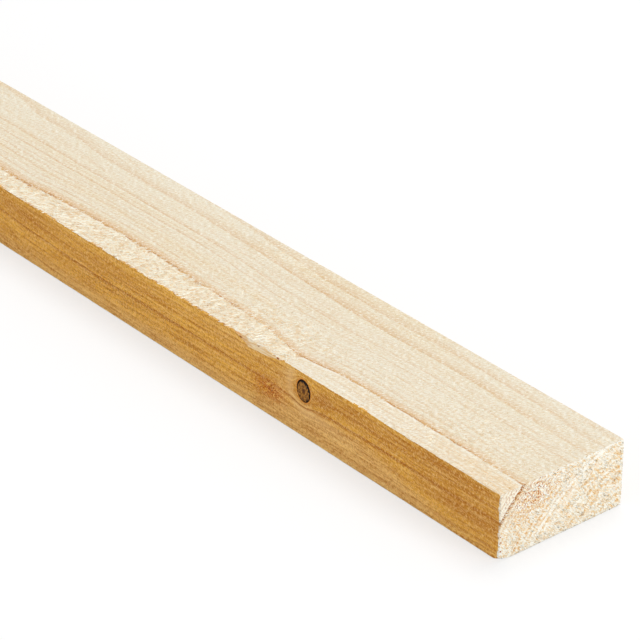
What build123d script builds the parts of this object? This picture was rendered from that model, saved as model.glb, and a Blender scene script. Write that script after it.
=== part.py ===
from build123d import *
from math import sqrt
import os

# A sawn softwood plank, lying flat on its broad face. +X runs along the length to the end
# with the dubbed corners, +Y across the width and +Z up from the face it lies on. The origin
# is at the middle of that face. All sizes are in millimetres.

# Sawn section and length
length = 2400.0
width = 100.0
thickness = 47.0

# Long edges: the saw leaves them nearly sharp, and handling has only just rubbed them
arris_radius = 0.8

# Knot on the -Y edge, where a dead branch comes out: an upright oval
knot_from_end = 182.5
knot_height = 34.0
knot_wide = 13.6
knot_tall = 16.0
knot_lean = 2.0
branch_slope = 25.0

# Gap that has opened round the knot, wider on its upper right
gap_width = 0.7
gap_offset = 0.22
gap_depth = 4.0

# Wear of the upper arris on the knotty edge, from the near end: distance, width on the face,
# depth on the edge
arris_wear = [
    (-5, 1.4, 0.9),
    (60, 1.0, 0.8),
    (135, 0.8, 0.6),
    (300, 0.9, 0.7),
    (420, 1.4, 1.2),
    (560, 0.9, 0.8),
    (800, 1.5, 1.1),
    (1150, 0.8, 1.0),
    (1500, 1.6, 1.2),
    (1900, 0.9, 0.7),
    (2405, 1.4, 1.3),
]

# Hollow torn out of the same arris, where the grain swings round the knot
torn_hollow = [
    (203, 0.3, 0.3),
    (206, 1.2, 1.5),
    (211, 1.4, 2.2),
    (217, 1.3, 3.5),
    (220, 1.2, 4.2),
    (229, 1.5, 4.6),
    (238, 2.2, 5.5),
    (242, 1.6, 3.7),
    (247, 2.3, 2.5),
    (250, 1.0, 0.9),
    (254, 0.3, 0.3),
]

# Corners of the near end, dubbed by knocks: the side and the face each one is at, and how
# far it reaches along, across and up
dubs = [
    (-1, 0, (10.0, 16.0, 4.7)),
    (1, 0, (4.0, 4.0, 5.0)),
    (1, 1, (3.5, 3.2, 3.2)),
]

# Drying check that has opened in the near end, close to the +Y edge
check_long = 7.0
check_wide = 0.6
check_deep = 14.0
check_from_edge = 4.6
check_height = 21.2
check_slope = 34.0

# Worked out from the sizes above
near_end = length / 2
knotty_edge = -width / 2
overshoot = 1.0


def sawn_stock():
    """The full section, its long edges broken, run out to the full length."""
    section = Plane.YZ * Pos(0, thickness / 2) * Rectangle(width, thickness)
    stock = extrude(section, amount=length / 2, both=True)
    return fillet(stock.edges().filter_by(Axis.X), arris_radius)


def bevel_section(from_end, on_face, on_edge):
    """Triangle across the upper -Y arris, its long side on the line of the bevel."""
    face_reach = on_face * (1 + overshoot)
    edge_reach = on_edge * (1 + overshoot)
    outline = Polyline(
        (knotty_edge - on_face * overshoot, thickness + on_edge * overshoot),
        (knotty_edge + face_reach, thickness + on_edge * overshoot),
        (knotty_edge - on_face * overshoot, thickness - edge_reach),
        close=True,
    )
    return Plane.YZ.offset(near_end - from_end) * make_face(outline)


def arris_cutter(stations):
    """The wood lost from the arris: a ruled loft through a bevel at each station."""
    return loft([bevel_section(*station) for station in stations], ruled=True)


def knot_gap():
    """The crescent gap between the knot and the wood round it, sunk along the branch."""
    mouth = Plane(
        origin=(near_end - knot_from_end, knotty_edge, knot_height),
        x_dir=(1, 0, 0),
        z_dir=(0, -1, 0),
    )
    wood = Ellipse(knot_wide / 2, knot_tall / 2)
    knot = Pos(-gap_offset, -gap_offset) * Ellipse(knot_wide / 2 - gap_width, knot_tall / 2 - gap_width)
    crescent = mouth * Rot(0, 0, knot_lean) * (wood - knot)
    inward = Vector(0, 1, 0).rotate(Axis.Z, branch_slope)
    return extrude(crescent, amount=gap_depth, dir=inward)


def dubbed_corner(side, face, reach):
    """What a knock took off: a corner block less the bulge of wood left behind, an
    ellipsoid that meets the three edges of the corner where the dub starts."""
    along, across, up = reach
    inward = Vector(-along, -side * across, up if face == 0 else -up)
    block = Pos(inward / 2) * Box(*reach)
    bulge = Pos(inward) * scale(Sphere(sqrt(2)), by=reach)
    return Pos(near_end, side * width / 2, face * thickness) * (block - bulge)


def end_check():
    """A thin slot in the end grain, lying along the growth rings."""
    mouth = Plane.YZ.offset(near_end) * Pos(width / 2 - check_from_edge, check_height)
    slot = mouth * Rot(0, 0, check_slope) * SlotOverall(check_long, check_wide)
    return extrude(slot, amount=-check_deep)


def make_plank():
    """The sawn stock with its worn and torn arris, knot, dubbed corners and end check."""
    plank = sawn_stock()
    plank -= arris_cutter(arris_wear)
    plank -= arris_cutter(torn_hollow)
    plank -= knot_gap()
    for dub in dubs:
        plank -= dubbed_corner(*dub)
    plank -= end_check()
    return plank


plank = make_plank()
os.makedirs("parts", exist_ok=True)
export_step(plank, "parts/plank.step")
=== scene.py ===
import math

import bmesh
import bpy
import numpy as np
from bpy.props import FloatProperty, FloatVectorProperty, IntProperty, PointerProperty
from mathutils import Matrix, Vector


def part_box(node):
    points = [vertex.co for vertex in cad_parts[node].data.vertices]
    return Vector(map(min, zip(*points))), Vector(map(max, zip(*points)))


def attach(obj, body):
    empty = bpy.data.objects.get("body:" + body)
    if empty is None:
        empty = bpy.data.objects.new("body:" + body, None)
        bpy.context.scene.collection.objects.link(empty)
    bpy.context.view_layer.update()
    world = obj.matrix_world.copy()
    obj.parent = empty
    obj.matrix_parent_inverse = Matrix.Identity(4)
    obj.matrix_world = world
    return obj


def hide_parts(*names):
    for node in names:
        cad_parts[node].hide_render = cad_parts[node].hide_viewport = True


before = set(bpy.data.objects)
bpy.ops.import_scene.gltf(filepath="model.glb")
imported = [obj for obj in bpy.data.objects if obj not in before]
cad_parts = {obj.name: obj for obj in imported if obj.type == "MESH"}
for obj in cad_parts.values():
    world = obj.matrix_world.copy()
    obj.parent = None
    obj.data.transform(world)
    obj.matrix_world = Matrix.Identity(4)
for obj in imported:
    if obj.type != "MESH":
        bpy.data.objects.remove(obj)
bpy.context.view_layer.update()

bl_info = {
    "name": "Sawn Softwood Plank",
    "version": (1, 0, 0),
    "blender": (4, 5, 0),
    "location": "3D View > Sidebar > Plank",
    "description": "Rough-sawn spruce plank with a dead knot, raised fibres and torn grain",
    "category": "Add Mesh",
}

# The plank is described in its own millimetres: along from the near end, across from the
# edge with the knot, and up from the face it lies on. The box comes from the frame.
LOW, HIGH = (np.array(corner) * 1000 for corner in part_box("plank"))
LENGTH, WIDTH, THICKNESS = HIGH - LOW

# Radius of the long edges, which the saw left nearly sharp
ARRIS_RADIUS = 0.8

# Wear of the upper arris on the knotty edge: distance along, width on the face, depth on the edge
ARRIS_WEAR = [
    (-5, 1.4, 0.9), (60, 1.0, 0.8), (135, 0.8, 0.6), (300, 0.9, 0.7), (420, 1.4, 1.2), (560, 0.9, 0.8),
    (800, 1.5, 1.1), (1150, 0.8, 1.0), (1500, 1.6, 1.2), (1900, 0.9, 0.7), (2405, 1.4, 1.3),
]

# Hollow torn out of the same arris beside the knot, in the same terms
TORN_HOLLOW = [
    (0, 0, 0), (203, 0.3, 0.3), (206, 1.2, 1.5), (211, 1.4, 2.2), (217, 1.3, 3.5), (220, 1.2, 4.2),
    (229, 1.5, 4.6), (238, 2.2, 5.5), (242, 1.6, 3.7), (247, 2.3, 2.5), (250, 1.0, 0.9), (254, 0.3, 0.3),
    (255, 0, 0), (2405, 0, 0),
]

# Corners knocked off the near end: each corner, and how far the knock reaches along, across
# and up from it
DUBS = [
    (np.array([0, 0, 0]), np.array([10.0, 16.0, 4.7])),
    (np.array([0, WIDTH, 0]), np.array([4.0, -4.0, 5.0])),
    (np.array([0, WIDTH, THICKNESS]), np.array([3.5, -3.2, -3.2])),
]

# Knot: its middle on the knotty edge, half its width and height, and how far the branch runs
# along and up for each millimetre that it goes in
KNOT = np.array([182.5, 0.0, 34.0])
KNOT_HALF = np.array([6.8, 8.0])
BRANCH_LEAN = np.array([0.47, -0.8])

# Crescent gap round the dead knot: its mean width, how far the dead wood has shrunk to one
# side, and the depth that is seen
GAP_WIDTH = 0.7
GAP_OFFSET = 0.22
GAP_DEPTH = 3.0

# Drying check in the near end: middle across and up, half length, half width, depth, slope
CHECK = dict(across=95.4, up=21.2, half_long=3.5, half_wide=0.45, deep=3.0, slope=math.radians(34))

# Three deep pits beside the knotty edge in the near end: across and up
END_PITS = [(1.6, 17.1), (1.6, 13.0), (1.6, 6.6)]

# Ring lines, followed along the plank: distance along, how far across the upper face four of
# them run, and how far up the knotty edge the first one does. The knot's pull on them is left
# out, because it is worked out below.
LINES = [
    (-30, 18, 48, 69, 82, 27.5), (0, 18.1, 48.3, 70, 83, 27.3), (50, 19.1, 50, 72, 86.6, 27.2),
    (130, 18.3, 52.3, 75.5, 89.3, 27), (200, 19.5, 51, 75.5, 89.8, 26.3), (270, 21.8, 50.8, 77.5, 91.5, 25.5),
    (330, 23, 54, 80, 96, 25), (360, 24.3, 55.2, 80.8, 98, 24.5), (400, 24, 55, 82, 100, 24.2),
    (458, 22, 55, 82.5, 101, 26), (490, 20, 54.5, 83.5, 101, 27.5), (515, 17, 54, 84, 102, 29),
    (555, 17.5, 54, 88.5, 105, 28.5), (600, 20, 53.5, 89, 106, 27), (625, 21, 53.5, 95, 112, 26.5),
    (700, 23, 55, 92, 106, 25), (820, 19, 51, 79, 93, 27), (1000, 16, 49, 75, 90, 28),
    (1250, 20, 53, 78, 94, 26), (1500, 17, 50, 74, 88, 28.5), (1800, 21, 52, 77, 92, 25.5),
    (2100, 24, 56, 81, 96, 24), (2430, 19, 50, 74, 89, 27),
]
LINE_RADII = [146.2, 127.1, 116.0, 111.6]

# Growth rings: the radius at which each one ends, and how dark its latewood is
RINGS = [
    (52.0, 0.5), (57.5, 0.6), (62.5, 0.4), (68.0, 0.7), (73.0, 0.5), (77.5, 0.6), (82.5, 0.5),
    (87.0, 0.7), (91.5, 0.45), (95.5, 0.5), (100.0, 0.4), (104.8, 0.5), (109.0, 0.35), (111.6, 0.75),
    (116.0, 1.0), (119.9, 0.3), (123.2, 0.75), (125.2, 0.3), (127.1, 0.75), (129.6, 0.3), (132.0, 0.45),
    (134.8, 0.5), (137.2, 0.4), (140.4, 0.5), (143.1, 0.4), (146.2, 1.35), (149.2, 0.35), (151.8, 0.7),
    (154.0, 0.45), (156.5, 0.55), (159.5, 0.5), (162.0, 0.6), (165.0, 0.5), (169.0, 0.5), (175.0, 0.5),
]
MAIN_RING = LINE_RADII[0]

# Radius at which an angle round the pith is turned into millimetres
MIDDLE_RADIUS = 110

# The grain parts to pass the branch, and the rings bulge above it: middle and reach of the
# bulge along and across the upper face, and how far it pushes the rings out
PARTING = 8.5
BULGE_AT = np.array([204.0, 12.0])
BULGE_REACH = np.array([27.0, 22.0])
BULGE = 3.3

# How far inside the plank's box every loose fibre stays
INSIDE_BOX = 0.02


def srgb(code, alpha=1.0):
    """The linear colour of an sRGB hex code."""
    parts = [int(code[i:i + 2], 16) / 255 for i in (1, 3, 5)]
    linear = [c / 12.92 if c <= 0.04045 else ((c + 0.055) / 1.055) ** 2.4 for c in parts]
    return (*linear, alpha)


def colour_property(name, code, description):
    """A colour that a user may change, its default given as an sRGB hex code."""
    return FloatVectorProperty(
        name=name, description=description, subtype="COLOR", size=4, min=0, max=1, default=srgb(code)
    )


class PlankSettings(bpy.types.PropertyGroup):
    """Sizes of the mesh and its relief."""

    fine_step: FloatProperty(
        name="Fine step", description="Mesh spacing on the faces at the near end",
        default=0.0014, min=0.0005, unit="LENGTH",
    )
    end_step: FloatProperty(
        name="End grain step", description="Mesh spacing on the cut ends",
        default=0.0006, min=0.0003, unit="LENGTH",
    )
    wool: IntProperty(
        name="Wool", description="Curled strands lifted on the upper face", default=5200, min=0
    )
    face_nap: IntProperty(
        name="Face nap", description="Short fibres standing on the upper face", default=40000, min=0
    )
    edge_nap: IntProperty(
        name="Edge nap", description="Short fibres standing on the knotty edge", default=16000, min=0
    )
    edge_strands: IntProperty(
        name="Edge strands", description="Torn strands, most of them below the hollow", default=1500, min=0
    )
    end_strands: IntProperty(
        name="End strands", description="Torn strands standing out of the near end", default=4200, min=0
    )
    end_nap: IntProperty(
        name="End nap", description="Fibre tips standing out of the near end", default=1800, min=0
    )
    far_nap: IntProperty(
        name="Far end nap", description="Fibre tips standing out of the far end", default=5000, min=0
    )


class PlankColours(bpy.types.PropertyGroup):
    """Colours of the wood, as they look under a plain white light; the edge colours and the torn
    end grain colour also hold painted shade.
    """

    early: colour_property("Earlywood", "#efe7d3", "Pale spring growth on the sawn faces")
    late: colour_property("Latewood", "#d29c50", "Dark line that ends each ring on the sawn faces")
    blush: colour_property("Blush", "#ead3a6", "Warmer bands in the sawn faces")
    # The edge colours are yellowed wood, made darker and more golden still with painted shade, as if the
    # edges lay in shade.
    edge_early_with_painted_shade: colour_property("Edge earlywood", "#f3bb4c", "Yellowed spring growth on the sawn edges")
    edge_late_with_painted_shade: colour_property("Edge latewood", "#ae6712", "Dark lines on the yellowed edges")
    end_pale: colour_property("End grain", "#f3f4ec", "Fibre tips on the cut ends")
    # The torn end grain colour also serves as painted shade in the hollows.
    end_torn_and_painted_shade: colour_property("Torn end grain", "#e8ca99", "Hollows between the fibre tips")
    knot: colour_property("Knot", "#98631f", "Dead branch wood")
    bark: colour_property("Knot rim", "#150b06", "Bark and pitch round the knot")
    floor: colour_property("Floor", "#f4f4f4", "Pale studio floor")


class StageSettings(bpy.types.PropertyGroup):
    """Camera and light."""

    azimuth: FloatProperty(
        name="Azimuth", description="Camera's way round the plank, from straight across it",
        default=math.radians(50.74), subtype="ANGLE",
    )
    elevation: FloatProperty(
        name="Elevation", description="Camera's height above the horizon",
        default=math.radians(29.07), subtype="ANGLE",
    )
    distance: FloatProperty(
        name="Distance", description="From the camera to the point it looks at",
        default=2.0231, unit="LENGTH",
    )
    lens: FloatProperty(
        name="Lens", description="Focal length in millimetres on a 36 mm sensor", default=168.8
    )
    aim_along: FloatProperty(
        name="Aim along", description="Point looked at, from the near end", default=0.2941, unit="LENGTH"
    )
    aim_across: FloatProperty(
        name="Aim across", description="Point looked at, from the middle line", default=0.0546, unit="LENGTH"
    )
    sky: FloatProperty(name="Sky", description="Even light from all round", default=0.6, min=0)


# Repeatable noise

def lattice(i, j, k, seed):
    """A random number from 0 to 1 for each whole-number point, always the same for a seed."""
    mask = 0xFFFFFFFF       # keeps 32 bits; the large numbers below scatter neighbours apart
    h = (i * 73856093) ^ (j * 19349663) ^ (k * 83492791) ^ (seed * 40503)
    h = ((h & mask) ^ ((h & mask) >> 13)) * 1274126177 & mask
    return ((h ^ (h >> 16)) & 0xFFFF) / 65535.0


def noise(points, cell, seed):
    """Smooth noise from -1 to 1 with bumps about as large as the cell."""
    q = points / np.array(cell, float)
    base = np.floor(q).astype(np.int64)
    t = q - base
    t = t * t * (3 - 2 * t)
    total = 0.0
    for di in (0, 1):
        for dj in (0, 1):
            for dk in (0, 1):
                weight = (
                    np.where(di, t[:, 0], 1 - t[:, 0])
                    * np.where(dj, t[:, 1], 1 - t[:, 1])
                    * np.where(dk, t[:, 2], 1 - t[:, 2])
                )
                total = total + weight * lattice(base[:, 0] + di, base[:, 1] + dj, base[:, 2] + dk, seed)
    return total * 2 - 1


def ease(x, stations, column=1):
    """A smooth line through stations of (distance, value, ...), each value in its own column."""
    table = np.array(stations, float)
    at, value = table[:, 0], table[:, column]
    slope = np.gradient(value, at)
    i = np.clip(np.searchsorted(at, x) - 1, 0, len(at) - 2)
    span = at[i + 1] - at[i]
    t = np.clip((x - at[i]) / span, 0, 1)
    rise = t * t * (3 - 2 * t)
    return (
        value[i] * (1 - rise) + value[i + 1] * rise
        + span * (slope[i] * t * (1 - t) ** 2 - slope[i + 1] * t * t * (1 - t))
    )


def from_table(stations, x, column=1):
    """A value from a table of stations, straight from one to the next."""
    return np.interp(x, [s[0] for s in stations], [s[column] for s in stations])


def unit(vectors):
    """Each vector brought to length 1."""
    return vectors / np.linalg.norm(vectors, axis=1)[:, None]


def ramp(x, low, high):
    """0 below low, 1 above high, smooth between."""
    t = np.clip((x - low) / (high - low), 0, 1)
    return t * t * (3 - 2 * t)


# The tree that the plank was sawn from

def grain_past_knot(points):
    """Where the grain at each point would lie if the branch did not part it."""
    axis = KNOT[[0, 2]] + points[:, 1:2] * BRANCH_LEAN
    offset = points[:, [0, 2]] - axis
    apart = np.linalg.norm(offset, axis=1) + 1e-6
    parted = np.sqrt(np.maximum(apart ** 2 - PARTING ** 2, 0))
    grain = points.copy()
    grain[:, [0, 2]] = axis + offset * (parted / apart)[:, None]
    return grain


def pith_at(lines):
    """The pith, found from the two places where the main ring line meets the faces."""
    on_face, on_edge = lines[:, 0], lines[:, -1]
    rise = THICKNESS - on_edge
    half = np.hypot(on_face, rise) / 2
    reach = np.sqrt(MAIN_RING ** 2 - half ** 2)
    middle = np.stack([on_face / 2, (THICKNESS + on_edge) / 2], -1)
    return middle + np.stack([rise, -on_face], -1) * (reach / (2 * half))[:, None]


def wood_at(points):
    """Where each point lay in the tree: along the grain, out from the pith and round it, in mm."""
    grain = grain_past_knot(points)
    lines = np.stack([ease(grain[:, 0], LINES, column) for column in range(1, 6)], -1)
    pith = pith_at(lines)
    spoke = grain[:, 1:] - pith
    out = np.linalg.norm(spoke, axis=1)
    astray = np.stack([
        radius - np.hypot(lines[:, k] - pith[:, 0], THICKNESS - pith[:, 1])
        for k, radius in enumerate(LINE_RADII)
    ], -1)
    for k in range(len(LINE_RADII) - 1):
        share = np.clip((grain[:, 1] - lines[:, k]) / (lines[:, k + 1] - lines[:, k]), 0, 1)
        out = out + share * (astray[:, k + 1] - astray[:, k])
    from_bulge = np.linalg.norm((points[:, :2] - BULGE_AT) / BULGE_REACH, axis=1)
    out = out - BULGE * np.exp(-(from_bulge ** 2)) * ramp(points[:, 1], 0, 10)
    out = out + 0.25 * noise(grain, (70, 30, 30), 3) + 0.12 * noise(grain, (14, 9, 9), 4)
    turn = np.arctan2(spoke[:, 1], spoke[:, 0]) * MIDDLE_RADIUS
    return np.stack([grain[:, 0], out, turn], -1)


def ring_number(out):
    """How many rings lie inside a radius, with the part of the next one."""
    ends = [end for end, _ in RINGS]
    return np.interp(out, ends, np.arange(len(ends)))


def ring_darkness(out):
    """How dark the latewood of the ring at this radius is."""
    at, dark = [], []
    for (start, _), (end, strength) in zip(RINGS, RINGS[1:]):
        at += [end - 0.5 * (end - start), end + 0.06 * (end - start)]
        dark += [strength, strength]
    return np.interp(out, at, dark)


def line_strength(p, wood):
    """How dark the ring lines are at each point: they come and go, fade at the near end's far
    side and far out, and are a little stronger in the strip outside the main ring."""
    wander = 1 + 0.45 * noise(wood, (130, 12, 60), 5)
    fade = 1 - (0.55 * ramp(p[:, 0], 110, 10) + 0.4 * ramp(p[:, 0], 250, 420)) * ramp(p[:, 1], 55, 75)
    strip = ramp(wood[:, 1], MAIN_RING + 0.5, MAIN_RING + 1.5) * ramp(p[:, 0], 170, 90)
    return ring_darkness(wood[:, 1]) * wander * fade * (1 + 0.4 * strip)


# Relief left by the saw, as a depth below the nominal face in mm

def spot(p, axes, at, reach):
    """1 at the middle of a soft oval patch on a face, 0 well outside it."""
    away = (p[:, axes] - np.array(at)) / np.array(reach)
    return np.exp(-(away ** 2).sum(1))


def woolly_share(p, out):
    """Where the saw lifted the grain most: outside the main ring beyond the knot, and beside the knot."""
    outside = ramp(out, MAIN_RING - 0.3, MAIN_RING + 0.6)
    strip = outside * ramp(p[:, 0], 190, 206) * (1 - 0.45 * ramp(p[:, 0], 560, 700))
    patch = 0.55 * spot(p, [0, 1], (262, 32), (85, 17)) + 0.4 * spot(p, [0, 1], (232, 27), (38, 11))
    near = 0.5 * spot(p, [0, 1], (55, 36), (45, 24)) + 0.4 * spot(p, [0, 1], (305, 88), (45, 14))
    low = 0.28 * outside * ramp(p[:, 0], 180, 150)
    return np.clip(np.maximum(strip, np.maximum(patch, near + low)), 0, 1)


def face_relief(p, out):
    """Depth of the rough-sawn broad faces; the underside is flatter, as it lies on the floor."""
    wool = woolly_share(p, out)
    rough = 0.06 * noise(p, (5, 1.6, 3), 11) + 0.04 * noise(p, (2.6, 1.3, 3), 12)
    tufts = 0.34 * noise(p, (3.6, 4.2, 3), 13) + 0.3 * noise(p, (2.4, 1.9, 3), 14)
    pits = np.maximum(noise(p, (3.6, 2.2, 3), 15) - 0.42, 0)
    upper = 0.18 + rough + wool * (tufts + 0.55) + (0.2 + 1.2 * wool) * pits
    return np.where(p[:, 2] > THICKNESS / 2, np.maximum(upper, 0.03), 0.12 + rough)


def edge_relief(p):
    """Depth of the sawn edges, which are smoother, with specks torn out below the hollow."""
    specks = spot(p, [0, 2], (221, 21), (15, 6.5))
    pits = np.maximum(noise(p, (2.2, 3, 1.8), 22) - 0.1, 0)
    fine = 0.06 * noise(p, (7, 3, 1.5), 21) + 0.05 * noise(p, (2.2, 3, 1.6), 23)
    return 0.15 + fine + specks * (0.2 + pits * 1.3)


def inside_rim(p):
    """How far each point of a cut end lies inside its rim."""
    return np.minimum.reduce([p[:, 1], p[:, 2], WIDTH - p[:, 1], THICKNESS - p[:, 2]])


def end_tufts(p, out):
    """How high the torn fibres of a cut end stand, from 0 to 1: highest in earlywood, in clumps."""
    early = 1 - ramp(ring_number(out) % 1, 0.15, 0.6)
    with_saw = np.stack([p[:, 0], 0.78 * p[:, 1] - 0.62 * p[:, 2], 0.62 * p[:, 1] + 0.78 * p[:, 2]], -1)
    torn = 0.6 * noise(with_saw, (9, 3.4, 1.0), 31) + 0.4 * noise(with_saw, (9, 1.5, 0.8), 32)
    torn = torn + 0.3 * noise(p, (9, 7, 7), 33) + 0.45 * ramp(inside_rim(p), 3.0, 0.5)
    smooth = ramp(out, MAIN_RING - 0.6, MAIN_RING + 0.4)
    return ramp(torn + 0.3 * early, -0.6, 0.6) * (1 - smooth) + 0.85 * smooth


def end_relief(p, out):
    """Depth of the cross-cut ends, where the saw tore the fibres."""
    pits = sum(1.6 * spot(p, [1, 2], at, (0.8, 0.8)) for at in END_PITS)
    return 0.15 + (1 - end_tufts(p, out)) * (0.1 + 0.12 * ramp(inside_rim(p), 0, 2.5)) + pits


def clip_arris(p, stations):
    """Moves points that stand outside a bevel on the knotty edge's upper arris down onto it."""
    on_face, on_edge = (from_table(stations, p[:, 0], column) for column in (1, 2))
    normal = np.stack([-on_edge, on_face], -1)
    size = np.linalg.norm(normal, axis=1)
    normal = normal / np.maximum(size, 1e-9)[:, None]
    proud = (p[:, 1] * normal[:, 0]) + (p[:, 2] - THICKNESS + on_edge) * normal[:, 1]
    proud = np.where(size > 0, np.maximum(proud, 0), 0)
    p[:, 1:] -= proud[:, None] * normal
    return proud


def knocked_off(p, corner, reach):
    """True where a point stood outside the bulge that a knock left, and its place in the knock."""
    q = (p - corner) / reach
    return ((q >= 0) & (q < 1)).all(1) & (((q - 1) ** 2).sum(1) > 2), q


def dub_corners(p):
    """Moves points of the knocked corners in onto the bulges that were left."""
    for corner, reach in DUBS:
        gone, q = knocked_off(p, corner, reach)
        p[gone] = corner + (1 + math.sqrt(2) * unit(q[gone] - 1)) * reach


# Mesh of the plank

def walk(span, steps):
    """Distances from 0 to the span, stepping by what the (distance, step) table gives there."""
    at = [0.0]
    while at[-1] < span:
        at.append(at[-1] + from_table(steps, at[-1]))
    return np.array(at) * (span / at[-1])


def section_rows(step, coarse):
    """Rows of points round the section: across, up, outward normal, closely set or not, and part.
    The step tables give the spacing at shares of each side, finest at the arrises."""
    rows = []

    def straight(start, end, normal, steps, close, part):
        span = math.dist(start, end)
        for at in walk(span, [(share * span, size) for share, size in steps]):
            point = [a + (b - a) * at / span for a, b in zip(start, end)]
            rows.append((*point, *normal, close, part))

    def arris(centre, radius, first, count, close, part):
        for angle in np.radians(first - 90 * (np.arange(count) + 1) / (count + 1)):
            normal = (math.cos(angle), math.sin(angle))
            point = [middle + radius * way for middle, way in zip(centre, normal)]
            rows.append((*point, *normal, close, part))

    r, w, t = ARRIS_RADIUS, WIDTH, THICKNESS
    fine = step / 3
    edge_steps = [(0, fine), (0.04, step), (0.86, step), (0.9, fine), (1, fine)]
    face_steps = [(0, fine), (0.03, fine), (0.05, step), (0.98, step), (1, fine)]
    straight((0, r), (0, t - r), (-1, 0), edge_steps, True, "edge")
    arris((r, t - r), r, 180, 3, True, "face")
    straight((r, t), (w - r, t), (0, 1), face_steps, True, "face")
    arris((w - r, t - r), r, 90, 3, True, "face")
    straight((w, t - r), (w, r), (1, 0), [(0, 1), (0.1, coarse), (0.9, coarse), (1, 1)], False, "edge")
    arris((w - r, r), r, 0, 3, False, "face")
    straight((w - r, 0), (r, 0), (0, -1), [(0, 1), (0.05, coarse), (0.95, coarse), (1, 1)], False, "face")
    arris((r, r), r, -90, 2, True, "face")
    return rows


def zip_rows(a, at_a, b, at_b):
    """Triangles between two rows of vertices that are spaced differently."""
    faces, i, j = [], 0, 0
    while i < len(a) - 1 or j < len(b) - 1:
        if j == len(b) - 1 or (i < len(a) - 1 and at_a[i + 1] <= at_b[j + 1]):
            faces.append((a[i], a[i + 1], b[j]))
            i += 1
        else:
            faces.append((a[i], b[j + 1], b[j]))
            j += 1
    return faces


def round_the_box(across, up, inset=0.0):
    """How far round the section a point lies, from 0 to 4, one for each side."""
    u = (up - inset) / (THICKNESS - 2 * inset)
    v = (across - inset) / (WIDTH - 2 * inset)
    gaps = np.stack([across, THICKNESS - up, WIDTH - across, up], -1)
    return np.choose(gaps.argmin(-1), [u, 1 + v, 3 - u, 4 - v])


class MeshParts:
    """Vertices and faces of the plank as they are gathered, each vertex with its outward normal."""

    def __init__(self):
        self.points, self.normals, self.faces, self.parts = [], [], [], []
        self.count = 0

    def add_points(self, points, normal):
        first = self.count
        self.points.append(points)
        self.normals.append(np.broadcast_to(np.array(normal, float), points.shape))
        self.count += len(points)
        return np.arange(first, self.count)

    def add_faces(self, faces, part):
        self.faces += [tuple(int(v) for v in face) for face in faces]
        self.parts += [part] * len(faces)


def build_barrel(mesh, step):
    """The four long faces as rows of points, with a window left for the knot. They are close
    together along what the photo shows, and wide apart past it and on the hidden faces."""
    close = walk(LENGTH, [
        (0, 0.5), (5, step), (330, step), (400, 1.4 * step), (560, 1.7 * step), (620, 3 * step), (720, 12),
        (2370, 12), (2400, 1.2),
    ])
    wide = walk(LENGTH, [(0, 1.2), (20, 8), (900, 12), (2370, 12), (2400, 1.2)])
    rows = section_rows(step, coarse=3.4)
    grid = []
    for across, up, n_across, n_up, closely, part in rows:
        at = close if closely else wide
        points = np.stack([at, np.full_like(at, across), np.full_like(at, up)], -1)
        grid.append(mesh.add_points(points, (0, n_across, n_up)))
    # The window clears the knot by 4.5 mm below, 2 mm above and 6 mm on each side
    edge_rows = [j for j, row in enumerate(rows) if row[0] == 0]
    heights = np.array([rows[j][1] for j in edge_rows])
    j0 = int(np.searchsorted(heights, KNOT[2] - KNOT_HALF[1] - 4.5))
    j1 = int(np.searchsorted(heights, KNOT[2] + KNOT_HALF[1] + 2.0))
    i0, i1 = (int(np.searchsorted(close, KNOT[0] + side * (KNOT_HALF[0] + 6))) for side in (-1, 1))
    for j, row in enumerate(rows):
        a, b = grid[j], grid[(j + 1) % len(rows)]
        after = rows[(j + 1) % len(rows)]
        part = row[5] if row[5] == after[5] else "face"
        if row[4] == after[4]:
            quads = np.stack([a[:-1], a[1:], b[1:], b[:-1]], -1)
            if j0 <= j < j1:
                quads = np.delete(quads, np.arange(i0, i1), axis=0)
            mesh.add_faces(quads, part)
        else:
            at_a, at_b = (close if r[4] else wide for r in (row, after))
            mesh.add_faces(zip_rows(a, at_a, b, at_b), part)
    bottom, top = grid[j0][i0:i1], grid[j1][i1:i0:-1]
    right, left = [grid[j][i1] for j in range(j0, j1)], [grid[j][i0] for j in range(j1, j0, -1)]
    window = np.concatenate([bottom, right, top, left])
    return rows, grid, window


def build_end(mesh, rows, loop, along, step, outward):
    """A cut end: an even grid of points, zipped to the barrel all round."""
    inset = 1.1
    across = np.linspace(inset, WIDTH - inset, round((WIDTH - 2 * inset) / step) + 1)
    up = np.linspace(inset, THICKNESS - inset, round((THICKNESS - 2 * inset) / step) + 1)
    grid_across, grid_up = np.meshgrid(across, up, indexing="ij")
    points = np.stack([np.full(grid_up.size, along), grid_across.ravel(), grid_up.ravel()], -1)
    index = mesh.add_points(points, (outward, 0, 0)).reshape(grid_up.shape)
    quads = np.stack([index[:-1, :-1], index[1:, :-1], index[1:, 1:], index[:-1, 1:]], -1)
    mesh.add_faces(quads.reshape(-1, 4), "end")
    rim = np.concatenate([index[0, :-1], index[:-1, -1], index[-1, :0:-1], index[:0:-1, 0]])
    rim_points = points[rim - index[0, 0]]
    at_rim = round_the_box(rim_points[:, 1], rim_points[:, 2], inset)
    at_loop = round_the_box(np.array([r[0] for r in rows]), np.array([r[1] for r in rows]))
    at_rim, at_loop = at_rim % 4, at_loop % 4
    rim, at_rim = rim[np.argsort(at_rim)], np.sort(at_rim)
    loop, at_loop = loop[np.argsort(at_loop)], np.sort(at_loop)
    closed_rim = (np.append(rim, rim[0]), np.append(at_rim, at_rim[0] + 4))
    closed_loop = (np.append(loop, loop[0]), np.append(at_loop, at_loop[0] + 4))
    mesh.add_faces(zip_rows(*closed_loop, *closed_rim), "end")


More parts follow.
